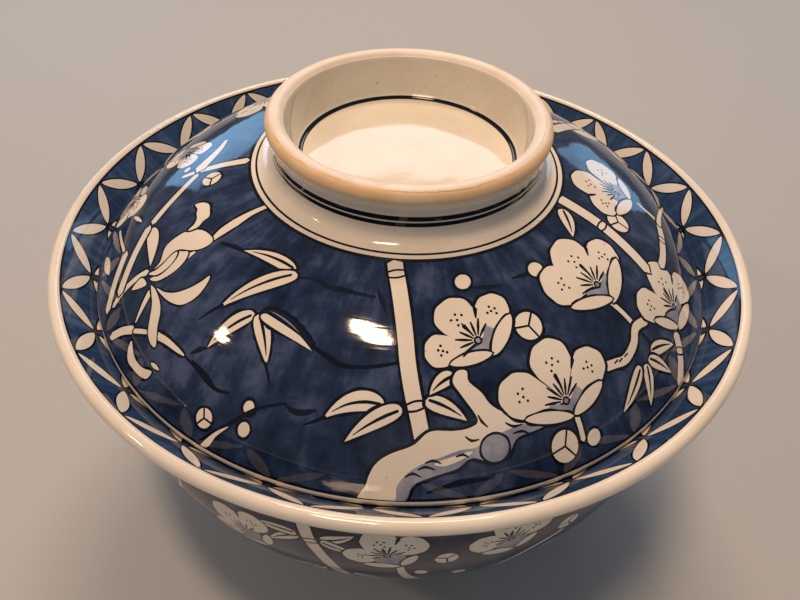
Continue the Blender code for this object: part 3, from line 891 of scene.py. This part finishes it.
def shell(name, outline, stripes, paintings, map_radii, split, materials):
    """One closed turned piece.

    stripes are (from, to, finish), by distance along the outline, where it is not white. paintings are
    (from, to, sheet, the sheet's radius at from, its growth per distance, spacing of points). map_radii
    gives the texture map's radius at distances along the painted side of split; the plain side gets the
    small disc.
    """
    outline.cut([place for stripe in stripes for place in stripe[:2]])
    distance = outline.distance
    points = outline.points
    normals = outline.normals()
    where, lean, along, spin = [], [], [], []
    loops = {}
    total = 0

    def add(radius, height, normal, at, direction):
        nonlocal total
        count = len(at)
        where.append(np.stack([radius * direction.real, radius * direction.imag, height], 1))
        lean.append(np.stack([normal.real * direction.real, normal.real * direction.imag, normal.imag], 1))
        along.append(at)
        spin.append(direction)
        total += count
        return np.arange(total - count, total)

    def loop(index):
        if index not in loops:
            direction = FULL_TURN[:1] if points[index].real < 1e-6 else FULL_TURN
            full = np.ones(len(direction))
            loops[index] = add(points[index].real * full, points[index].imag * full,
                               normals[index] * full, distance[index] * full, direction)
        return loops[index]

    faces, finishes = [], []
    painted = [painting[:2] for painting in paintings]
    for index in range(len(points) - 1):
        middle = 0.5 * (distance[index] + distance[index + 1])
        if any(start < middle < end for start, end in painted):
            continue
        finish = next((FINISHES.index(f) for start, end, f in stripes if start < middle < end), 0)
        here, after = loop(index), loop(index + 1)
        for j in range(SEGMENTS):
            k = (j + 1) % SEGMENTS
            if len(here) == 1:
                faces.append((here[0], after[j], after[k]))
            elif len(after) == 1:
                faces.append((here[j], after[0], here[k]))
            else:
                faces.append((here[j], after[j], after[k], here[k]))
            finishes.append(finish)
    for start, end, sheet, radius_at_start, slope, spacing in paintings:
        ends = (int(np.argmin(abs(distance - start))), int(np.argmin(abs(distance - end))))
        start, end = distance[ends[0]], distance[ends[1]]
        radii = (radius_at_start, radius_at_start + slope * (end - start))
        inner, outer = min(radii), max(radii)
        flat, triangles, finish_of, rank = triangulated(sheet, inner, outer, spacing)
        at = start + (abs(flat) - radius_at_start) / slope
        spot = np.interp(at, distance, points)
        normal = np.interp(at, distance, normals)
        normal = normal / abs(normal)
        shared = np.concatenate([loop(end) for end in (ends if slope > 0 else ends[::-1])])
        free = rank < 0
        direction = (flat / abs(flat))[free]
        number = np.empty(len(flat), int)
        number[free] = add(spot.real[free], spot.imag[free], normal[free], at[free], direction)
        number[~free] = shared[rank[~free]]
        triangles = number[triangles]
        if slope < 0:
            triangles = triangles[:, ::-1]
        faces.extend(map(tuple, triangles.tolist()))
        finishes.extend(finish_of.tolist())

    where = np.concatenate(where)
    lean = np.concatenate(lean)
    along = np.concatenate(along)
    spin = np.concatenate(spin)
    mesh = bpy.data.meshes.new(name)
    mesh.from_pydata((where * METRES).tolist(), [], [tuple(int(v) for v in face) for face in faces])
    for material in materials:
        mesh.materials.append(material)
    mesh.polygons.foreach_set("material_index", finishes)
    mesh.polygons.foreach_set("use_smooth", [True] * len(faces))
    mesh.normals_split_custom_set_from_vertices(lean.tolist())

    # The texture map: the painted side as one large disc, the plain side as a small one in a corner.
    main_radius = np.interp(along, *zip(*sorted(map_radii)))
    plain = np.abs(along - split[1]) / abs(split[0] - split[1])
    vertex_of = np.zeros(len(mesh.loops), int)
    mesh.loops.foreach_get("vertex_index", vertex_of)
    sizes = np.array([len(face) for face in faces])
    face_of = np.repeat(np.arange(len(faces)), sizes)
    centre_along = np.add.reduceat(along[vertex_of], np.cumsum(sizes) - sizes) / sizes
    on_plain = ((centre_along - split[0]) * (split[1] - split[0]) > 0)[face_of]
    big = 0.5 + 0.5j + main_radius * spin
    small = SMALL_DISC_CENTRE + SMALL_DISC_RADIUS * plain * spin
    uv = np.where(on_plain, small[vertex_of], big[vertex_of])
    layer = mesh.uv_layers.new(name="OFBake")
    layer.data.foreach_set("uv", np.stack([uv.real, uv.imag], 1).ravel())
    piece = bpy.data.objects.new(name, mesh)
    bpy.context.scene.collection.objects.link(piece)
    return piece


# Finishes.

class Nodes:
    """Short calls for building one material's node tree, with coordinates that follow a turned piece."""

    def __init__(self, name):
        self.material = bpy.data.materials.new(name)
        self.material.use_nodes = True
        self.tree = self.material.node_tree
        self.shader = self.tree.nodes["Principled BSDF"]
        self.place = self.node("ShaderNodeTexCoord").outputs["Object"]
        x, y, height = self.node("ShaderNodeSeparateXYZ", ((0, self.place),)).outputs
        flat = self.node("ShaderNodeCombineXYZ", ((0, x), (1, y))).outputs[0]
        self.away = self.node("ShaderNodeVectorMath", ((0, flat),), operation="LENGTH").outputs["Value"]
        around = self.node("ShaderNodeVectorMath", ((0, flat),), operation="NORMALIZE").outputs[0]
        self.around = self.node("ShaderNodeSeparateXYZ", ((0, around),)).outputs
        self.down = self.math("SUBTRACT", self.away, height)

    def node(self, kind, links=(), **settings):
        """A node of this kind, with links to its inputs as (input, socket or value)."""
        made = self.tree.nodes.new(kind)
        for key, value in settings.items():
            setattr(made, key, value)
        for key, value in links:
            if isinstance(value, bpy.types.NodeSocket):
                self.tree.links.new(value, made.inputs[key])
            else:
                made.inputs[key].default_value = value
        return made

    def math(self, operation, first, second):
        """The result of one sum."""
        return self.node("ShaderNodeMath", ((0, first), (1, second)), operation=operation).outputs[0]

    def times(self, first, second):
        """Two values multiplied."""
        return self.math("MULTIPLY", first, second)

    def plus(self, first, second):
        """Two values added."""
        return self.math("ADD", first, second)

    def noise(self, vector, scale, detail, roughness):
        """Cloudy variation from 0 to 1."""
        links = (("Vector", vector), ("Scale", scale), ("Detail", detail), ("Roughness", roughness))
        return self.node("ShaderNodeTexNoise", links).outputs[0]

    def streaks(self, fine, long, detail, roughness):
        """Brush strokes: fine is repeats round the piece, long is repeats per metre down it."""
        stretched = self.node("ShaderNodeCombineXYZ", (
            (0, self.times(self.around[0], fine)),
            (1, self.times(self.around[1], fine)),
            (2, self.times(self.down, long)),
        ))
        return self.noise(stretched.outputs[0], 1.0, detail, roughness)

    def ramp(self, value, *stops):
        """Colours along a value from 0 to 1."""
        made = self.node("ShaderNodeValToRGB", (("Fac", value),))
        elements = made.color_ramp.elements
        while len(elements) < len(stops):
            elements.new(0.5)
        for element, (place, colour) in zip(elements, stops):
            element.position = place
            element.color = (*colour, 1.0)
        return made.outputs["Color"]

    def mix(self, factor, first, second):
        """One colour over another."""
        made = self.node("ShaderNodeMix", ((0, factor), (6, first), (7, second)), data_type="RGBA")
        return made.outputs[2]

    def spread(self, value, low, high, **ends):
        """The value moved from its own range to the range low to high, or from the ends given."""
        links = [("Value", value), ("To Min", low), ("To Max", high)]
        links.extend((name.replace("_", " "), end) for name, end in ends.items())
        return self.node("ShaderNodeMapRange", links).outputs[0]

    def drive(self, name, value):
        """Link a value to one of the shader's inputs."""
        self.tree.links.new(value, self.shader.inputs[name])

    def bump(self, height, strength, distance):
        """Raise the surface by a height from 0 to 1, times the distance."""
        links = (("Height", height), ("Strength", strength), ("Distance", distance))
        self.drive("Normal", self.node("ShaderNodeBump", links).outputs[0])


def glaze(name, colours, fine=22.0, long=45.0, cloud=85.0, weight=0.3, specks=False):
    """Glazed ware: brushed and clouded colour with the gloss and the ripple of real glaze.

    fine and long set the brush strokes' size, cloud is the clouds' repeats per metre, and weight is the
    brush strokes' share of the colour.
    """
    nodes = Nodes(name)
    place = nodes.place
    brush = nodes.times(nodes.streaks(fine, long, 5.0, 0.6), weight)
    clouds = nodes.times(nodes.noise(place, cloud, 5.0, 0.62), 0.6 - 0.5 * weight)
    pools = nodes.times(nodes.noise(place, 0.28 * cloud, 2.0, 0.5), 0.4 - 0.5 * weight)
    blend = nodes.plus(nodes.plus(brush, clouds), pools)
    first_stop, stop_range = 0.38, 0.24
    steps = len(colours) - 1
    stops = [(first_stop + stop_range * i / steps, colour) for i, colour in enumerate(colours)]
    colour = nodes.ramp(blend, *stops)
    if specks:
        speck = nodes.ramp(nodes.noise(place, 900.0, 1.0, 0.5), (0.765, BLACK), (0.80, WHITE))
        colour = nodes.mix(nodes.times(speck, 0.45), colour, (0.30, 0.22, 0.15, 1.0))
    nodes.drive("Base Color", colour)
    smear = nodes.noise(place, 35.0, 3.0, 0.6)
    nodes.drive("Roughness", nodes.spread(smear, 0.6 * GLOSS_ROUGHNESS, 1.5 * GLOSS_ROUGHNESS))
    ripple = nodes.noise(place, 55.0, 2.0, 0.45)
    turning = nodes.times(nodes.streaks(1.2, 420.0, 2.0, 0.5), 0.10)
    pits = nodes.times(nodes.noise(place, 1400.0, 2.0, 0.6), 0.012)
    nodes.bump(nodes.plus(nodes.plus(ripple, turning), pits), 0.2, 0.0012)
    nodes.shader.inputs["IOR"].default_value = 1.48
    return nodes.material


def bare_clay(name):
    """The unglazed lip of a ring: buff, its crest paler in tone and with painted sheen, with scorched
    lines.
    """
    nodes = Nodes(name)
    mottle = nodes.noise(nodes.place, 120.0, 5.0, 0.6)
    buff = nodes.ramp(mottle, (0.30, (0.80, 0.54, 0.30)), (0.52, (0.90, 0.62, 0.36)),
                      (0.74, (0.94, 0.71, 0.46)))
    pale = nodes.ramp(mottle, (0.35, (0.80, 0.71, 0.63)), (0.65, (0.89, 0.82, 0.75)))
    ragged = nodes.plus(nodes.away, nodes.times(nodes.streaks(7.0, 150.0, 4.0, 0.6), 0.0008))
    across = nodes.spread(ragged, 0.0, 1.0, From_Min=CLAY_INNER * METRES, From_Max=CLAY_OUTER * METRES)
    # The crest's paler colour is partly the clay's own tone and partly painted sheen where light falls on
    # the top.
    pale_crest_and_sheen = nodes.ramp(across, (0.79, WHITE), (0.87, BLACK))
    colour = nodes.mix(nodes.times(pale_crest_and_sheen, 0.93), buff, pale)

    # The scorched lines: place across the lip, half width, length of the breaks, strength, colour.
    for middle, half, breaks, strength, tint in (
        (0.875, 0.030, 2.2, 0.70, (0.36, 0.17, 0.07, 1.0)),
        (0.640, 0.035, 4.5, 0.40, (0.33, 0.21, 0.19, 1.0)),
    ):
        line = nodes.ramp(across, (middle - half, BLACK), (middle - 0.3 * half, WHITE),
                          (middle + 0.3 * half, WHITE), (middle + half, BLACK))
        patches = nodes.ramp(nodes.streaks(breaks, 20.0, 3.0, 0.6), (0.46, BLACK), (0.60, WHITE))
        colour = nodes.mix(nodes.times(nodes.times(line, patches), strength), colour, tint)
    nodes.drive("Base Color", colour)
    grain = nodes.times(nodes.noise(nodes.place, 2600.0, 4.0, 0.7), 0.4)
    nodes.bump(nodes.plus(grain, mottle), 0.3, 0.0002)
    nodes.shader.inputs["Roughness"].default_value = 0.42
    return nodes.material


def finishes():
    """The materials, in the order of FINISHES."""
    made = {
        "white": glaze("white_glaze", ((0.74, 0.68, 0.60), (0.81, 0.75, 0.67), (0.85, 0.80, 0.735)),
                       weight=0.0, cloud=45.0, specks=True),
        "ground": glaze("cobalt_ground",
                        ((0.004, 0.009, 0.027), (0.016, 0.031, 0.084), (0.064, 0.094, 0.195)),
                        fine=15.0, long=80.0, cloud=150.0, weight=0.36),
        "ink": glaze("dark_line", ((0.0022, 0.003, 0.008), (0.005, 0.007, 0.018))),
        "shade": glaze("cobalt_shade", ((0.004, 0.006, 0.015), (0.009, 0.013, 0.032))),
        "wash": glaze("pale_wash", ((0.13, 0.155, 0.25), (0.26, 0.29, 0.39), (0.44, 0.46, 0.53)),
                      cloud=160.0),
        "blue": glaze("band_blue", ((0.011, 0.030, 0.080), (0.026, 0.060, 0.150), (0.078, 0.130, 0.245)),
                      fine=34.0, long=80.0, weight=0.4),
        "clay": bare_clay("bare_clay"),
        "cream": glaze("cream_glaze", ((0.70, 0.635, 0.53), (0.78, 0.72, 0.61), (0.81, 0.76, 0.66)),
                       weight=0.0, cloud=40.0, specks=True),
    }
    return [made[name] for name in FINISHES]


# The pieces.

def make_lid(materials):
    """The lid: a painted dome with a ring to lift it by."""
    outline = lid_outline()
    start = outline.start
    well_line = (start["ring_inside"] - 0.4, start["ring_inside"] + 0.75)
    clay = (start["ring_lip"] + 1.1, start["ring_lip"] + 6.9)
    stripes = (
        (*well_line, "ink"),
        (0.0, well_line[0], "cream"),
        (well_line[1], clay[0], "cream"),
        (*clay, "clay"),
        (start["collar"] - 1.5, start["collar"] - 0.45, "ink"),
        (start["collar"] - 0.1, start["collar"] + 0.85, "ink"),
        (start["dome"] - 1.75, start["dome"] - 1.25, "ink"),
        (start["dome"] - 0.35, start["dome"], "ink"),
        (start["edge"], start["edge"] + 0.15, "ink"),
    )
    paintings = [(start["dome"], start["edge"], lid_painting(), DOME_TOP.real, 1.0, GRID)]
    ring_map, dome_map, map_scale = 0.12, 0.218, 0.00615
    edge_map = dome_map + (start["edge"] - start["dome"]) * map_scale
    turn_under = start["edge"] + 2.6
    map_radii = ((0.0, 0.0), (start["ring_lip"], ring_map), (start["dome"], dome_map),
                 (start["edge"], edge_map), (turn_under, MAP_EDGE), (outline.length, MAP_EDGE))
    split = (turn_under, outline.length)
    return shell("lid_glazed", outline, stripes, paintings, map_radii, split, materials)


def make_bowl(materials):
    """The bowl: painted outside, and inside its flared rim."""
    outline = bowl_outline()
    start = outline.start
    stripes = (
        (start["foot"] + 0.2, start["foot"] + 0.7, "ink"),
        (start["foot_corner"] - 5.4, start["foot_corner"] - 4.8, "ink"),
        (start["foot_corner"] - 3.9, start["foot_corner"] - 3.5, "ink"),
        (start["foot_corner"] + 0.1, start["well"] - 1.2, "clay"),
    )
    band_inner = 65.8
    outside_top, outside_slope = 80.0, -0.56
    outside = outside_painting(outline, outside_top, outside_slope)
    paintings = [
        (start["flare"], start["lip"], band_painting(band_inner), band_inner, 1.0, GRID),
        (start["outside"], start["foot"], outside, outside_top, outside_slope, GRID),
    ]
    map_radii = ((outline.length, 0.0), (start["foot"], 0.13), (start["outside"], 0.40),
                 (start["lip"], 0.42), (start["flare"], MAP_EDGE), (0.0, MAP_EDGE))
    return shell("bowl_glazed", outline, stripes, paintings, map_radii, (start["flare"], 0.0), materials)


def make_floor():
    """A plain pale floor."""
    reach, depth = 2.2, -0.00005
    corners = [(x * reach, y * reach, depth) for x, y in ((-1, -1), (1, -1), (1, 1), (-1, 1))]
    mesh = bpy.data.meshes.new("floor")
    mesh.from_pydata(corners, [], [(0, 1, 2, 3)])
    floor = bpy.data.objects.new("floor", mesh)
    bpy.context.scene.collection.objects.link(floor)
    paper = bpy.data.materials.new("pale_floor")
    paper.use_nodes = True
    shader = paper.node_tree.nodes["Principled BSDF"]
    shader.inputs["Base Color"].default_value = (0.45, 0.46, 0.47, 1.0)
    shader.inputs["Roughness"].default_value = 0.6
    mesh.materials.append(paper)


def make_light():
    """Soft studio light: a dim even world and seven soft boxes aimed at the lid."""
    world = bpy.data.worlds.new("studio")
    world.use_nodes = True
    background = world.node_tree.nodes["Background"]
    background.inputs["Color"].default_value = (0.90, 0.94, 1.0, 1.0)
    background.inputs["Strength"].default_value = 0.17
    bpy.context.scene.world = world

    lamplight = (1.0, 0.69, 0.45)
    window_blue = (0.30, 0.62, 1.0)
    target = Vector((0.0, 0.0, 0.09))

    # Name, shape, place, width and height, brightness, spread in degrees, colour.
    for name, shape, place, size, brightness, spread, colour in (
        ("overhead", "ELLIPSE", (-0.135, -0.16, 1.28), (0.27, 0.13), 62.0, 180, lamplight),
        ("left_lamp", "RECTANGLE", (-0.95, -0.19, 0.87), (0.10, 0.08), 80.0, 180, lamplight),
        ("back_light", "RECTANGLE", (0.0, 0.66, 1.16), (0.40, 0.20), 27.0, 180, (1.0, 0.72, 0.50)),
        ("front_fill", "RECTANGLE", (0.35, -1.25, 0.75), (1.1, 0.8), 0.16, 180, (1.0, 0.86, 0.72)),
        ("back_window", "RECTANGLE", (0.0, 1.08, 0.78), (0.9, 0.26), 3.2, 180, (0.92, 0.92, 1.0)),
        ("left_window", "RECTANGLE", (-0.70, 1.09, 0.33), (0.54, 0.40), 0.32, 60, window_blue),
        ("right_window", "RECTANGLE", (0.74, 1.05, 0.30), (0.42, 0.36), 0.22, 60, window_blue),
    ):
        lamp = bpy.data.lights.new(name, "AREA")
        lamp.shape = shape
        lamp.size, lamp.size_y = size
        lamp.energy = brightness * math.pi * size[0] * size[1]
        lamp.spread = math.radians(spread)
        lamp.color = colour
        holder = bpy.data.objects.new(name, lamp)
        holder.location = place
        holder.rotation_euler = (target - Vector(place)).to_track_quat("-Z", "Y").to_euler()
        bpy.context.scene.collection.objects.link(holder)


def make_camera():
    """A camera where the photograph was taken from."""
    optics = bpy.data.cameras.new("photographer")
    optics.sensor_width = 36.0
    optics.lens = 31.5
    optics.clip_start = 0.01
    optics.dof.use_dof = False
    camera = bpy.data.objects.new("photographer", optics)
    camera.location = (0.0, -0.1339, 0.1839)
    pitch, roll = math.radians(45.88), math.radians(2.97)
    facing = Euler((pitch, 0.0, 0.0)).to_matrix() @ Euler((0.0, 0.0, roll)).to_matrix()
    camera.rotation_euler = facing.to_euler()
    bpy.context.scene.collection.objects.link(camera)
    bpy.context.scene.camera = camera
    bpy.context.scene.view_settings.view_transform = "Standard"


palette = finishes()
for build, node, slot in ((make_bowl, "bowl", "bowl_porcelain"), (make_lid, "lid", "lid_porcelain")):
    piece = build(palette)
    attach(piece, node)
    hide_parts(node)
make_floor()
make_light()
make_camera()
